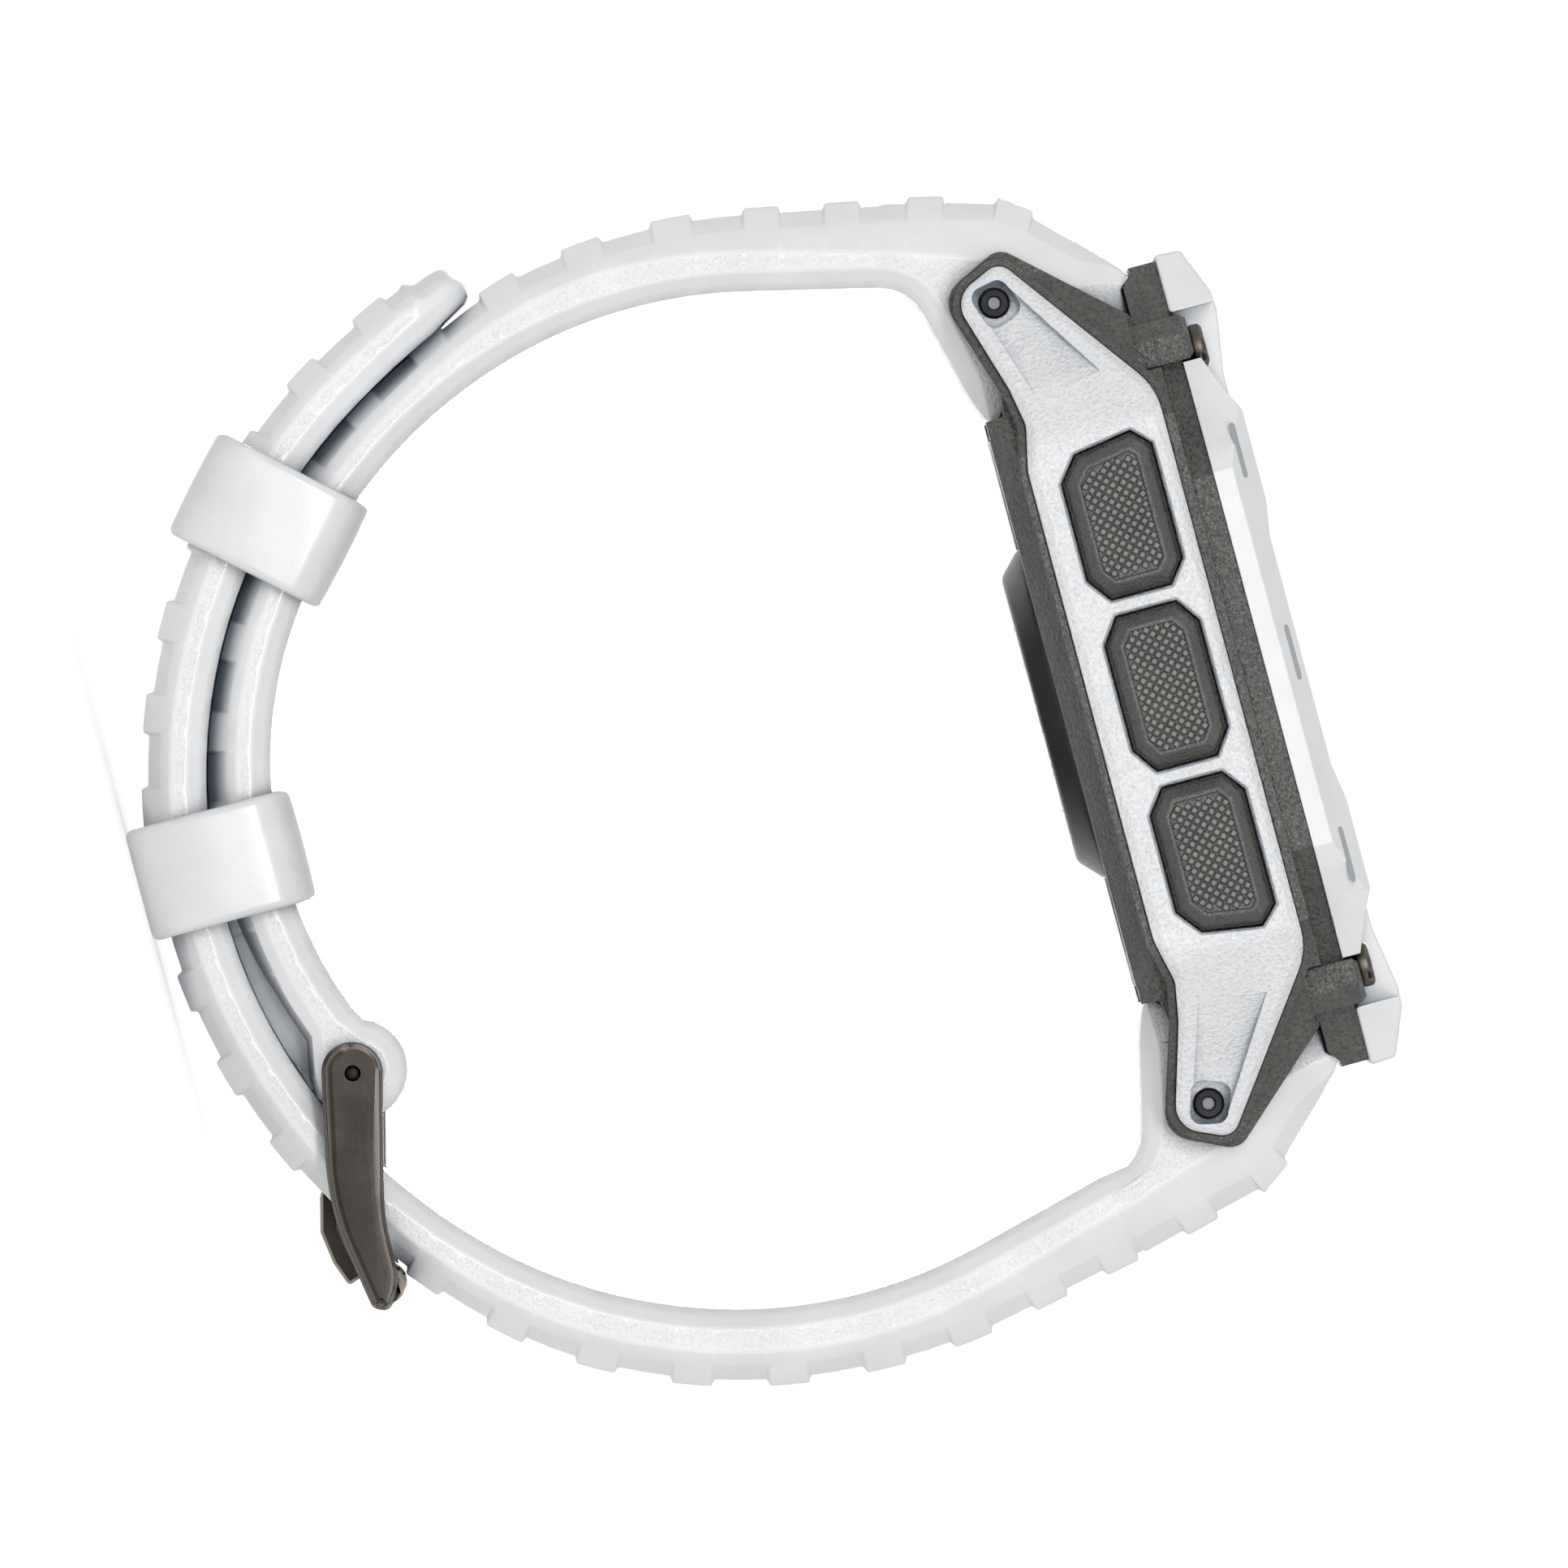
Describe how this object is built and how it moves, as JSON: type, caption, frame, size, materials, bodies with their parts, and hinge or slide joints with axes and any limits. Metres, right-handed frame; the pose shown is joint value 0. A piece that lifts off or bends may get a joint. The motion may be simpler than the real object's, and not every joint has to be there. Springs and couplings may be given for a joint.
{
  "type": "gps running watch",
  "caption": "Rugged digital sports watch with a round display, side push buttons, an optical wrist sensor and a ribbed silicone strap closed in a loop by a pin buckle and keepers.",
  "frame": {"origin": "centre of the flat back face of the optical sensor window, which rests on the wrist", "axes": "+Z out of the display, +Y towards 12 o'clock along the strap, +X towards 3 o'clock, across the strap"},
  "size_m": [0.0506, 0.0712, 0.0713],
  "materials": {
    "white_polymer": "moulded fibre-filled polymer, fine texture",
    "dark_polymer": "moulded fibre-filled polymer, dark grey, fine texture",
    "strap_silicone": "soft silicone, satin, finely grained side walls",
    "keeper_silicone": "smooth silicone",
    "buckle_metal": "bead-blasted steel with gunmetal coating, polished edges",
    "pin_steel": "turned steel",
    "screw_steel": "gunmetal coated steel",
    "button_polymer": "hard coated polymer with knurled pad",
    "seal_rubber": "nitrile rubber",
    "lens_glass": "strengthened glass",
    "display": "display panel",
    "sensor_glass": "dark tinted optical window",
    "contact_gold": "gold plated",
    "insert_black": "moulded insert",
    "board_green": "solder-masked circuit board",
    "cell_foil": "foil-cased cell",
    "motor_steel": "pressed steel can",
    "switch_plastic": "moulded switch body"
  },
  "bodies": {
    "watch": {"back_screw_1": "screw_steel", "back_screw_2": "screw_steel", "back_screw_3": "screw_steel", "back_screw_4": "screw_steel", "battery": "cell_foil", "bezel_base": "dark_polymer", "bezel_end_lower": "white_polymer", "bezel_end_upper": "white_polymer", "bezel_screw_1": "screw_steel", "bezel_screw_2": "screw_steel", "bezel_screw_3": "screw_steel", "bezel_screw_4": "screw_steel", "bezel_side_left": "white_polymer", "bezel_side_right": "white_polymer", "buckle_pin": "pin_steel", "case_back": "dark_polymer", "charge_contacts": "contact_gold", "charge_port": "insert_black", "display_panel": "display", "gps_antenna": "insert_black", "lens_gasket": "seal_rubber", "lens_glass": "lens_glass", "lug_pin_lower": "pin_steel", "lug_pin_upper": "pin_steel", "main_board": "board_green", "mid_case": "dark_polymer", "seal_left_lower": "seal_rubber", "seal_left_middle": "seal_rubber", "seal_left_upper": "seal_rubber", "seal_right_lower": "seal_rubber", "seal_right_upper": "seal_rubber", "sensor_board": "board_green", "sensor_window": "sensor_glass", "side_guard_left": "white_polymer", "side_guard_right": "white_polymer", "strap_lower": "strap_silicone", "strap_upper": "strap_silicone", "switch_left_lower": "switch_plastic", "switch_left_middle": "switch_plastic", "switch_left_upper": "switch_plastic", "switch_right_lower": "switch_plastic", "switch_right_upper": "switch_plastic", "vibration_motor": "motor_steel"},
    "press_left_upper": {"button_left_upper": "button_polymer", "clip_left_upper": "pin_steel"},
    "press_left_middle": {"button_left_middle": "button_polymer", "clip_left_middle": "pin_steel"},
    "press_left_lower": {"button_left_lower": "button_polymer", "clip_left_lower": "pin_steel"},
    "press_right_upper": {"button_right_upper": "button_polymer", "clip_right_upper": "pin_steel"},
    "press_right_lower": {"button_right_lower": "button_polymer", "clip_right_lower": "pin_steel"},
    "buckle": {"buckle_frame": "buckle_metal"},
    "tongue": {"buckle_tongue": "buckle_metal"},
    "first_keeper": {"keeper_fixed": "keeper_silicone"},
    "second_keeper": {"keeper_free": "keeper_silicone"}
  },
  "joints": [
    {"name": "press_left_upper", "type": "slide", "parent": "watch", "child": "press_left_upper", "axis": [1, 0, 0], "range_m": [0, 0.0005], "stiffness_N_per_m": 2000, "springref_m": -0.0005},
    {"name": "press_left_middle", "type": "slide", "parent": "watch", "child": "press_left_middle", "axis": [1, 0, 0], "range_m": [0, 0.0005], "stiffness_N_per_m": 2000, "springref_m": -0.0005},
    {"name": "press_left_lower", "type": "slide", "parent": "watch", "child": "press_left_lower", "axis": [1, 0, 0], "range_m": [0, 0.0005], "stiffness_N_per_m": 2000, "springref_m": -0.0005},
    {"name": "press_right_upper", "type": "slide", "parent": "watch", "child": "press_right_upper", "axis": [-1, 0, 0], "range_m": [0, 0.0005], "stiffness_N_per_m": 2000, "springref_m": -0.0005},
    {"name": "press_right_lower", "type": "slide", "parent": "watch", "child": "press_right_lower", "axis": [-1, 0, 0], "range_m": [0, 0.0005], "stiffness_N_per_m": 2000, "springref_m": -0.0005},
    {"name": "buckle_swing", "type": "hinge", "parent": "watch", "child": "buckle", "pos_m": [0, -0.0098, -0.04525], "axis": [1, 0, 0], "range_deg": [0, 6]},
    {"name": "tongue_swing", "type": "hinge", "parent": "buckle", "child": "tongue", "pos_m": [0, -0.0098, -0.04525], "axis": [1, 0, 0], "range_deg": [0, 4]},
    {"name": "first_keeper_slide", "type": "hinge", "parent": "watch", "child": "first_keeper", "pos_m": [0, 0.0023, -0.0197], "axis": [1, 0, 0], "range_deg": [-1.5, 1.5]},
    {"name": "second_keeper_slide", "type": "hinge", "parent": "watch", "child": "second_keeper", "pos_m": [0, 0.0012, -0.0179], "axis": [1, 0, 0], "range_deg": [-1.5, 1.5]}
  ]
}
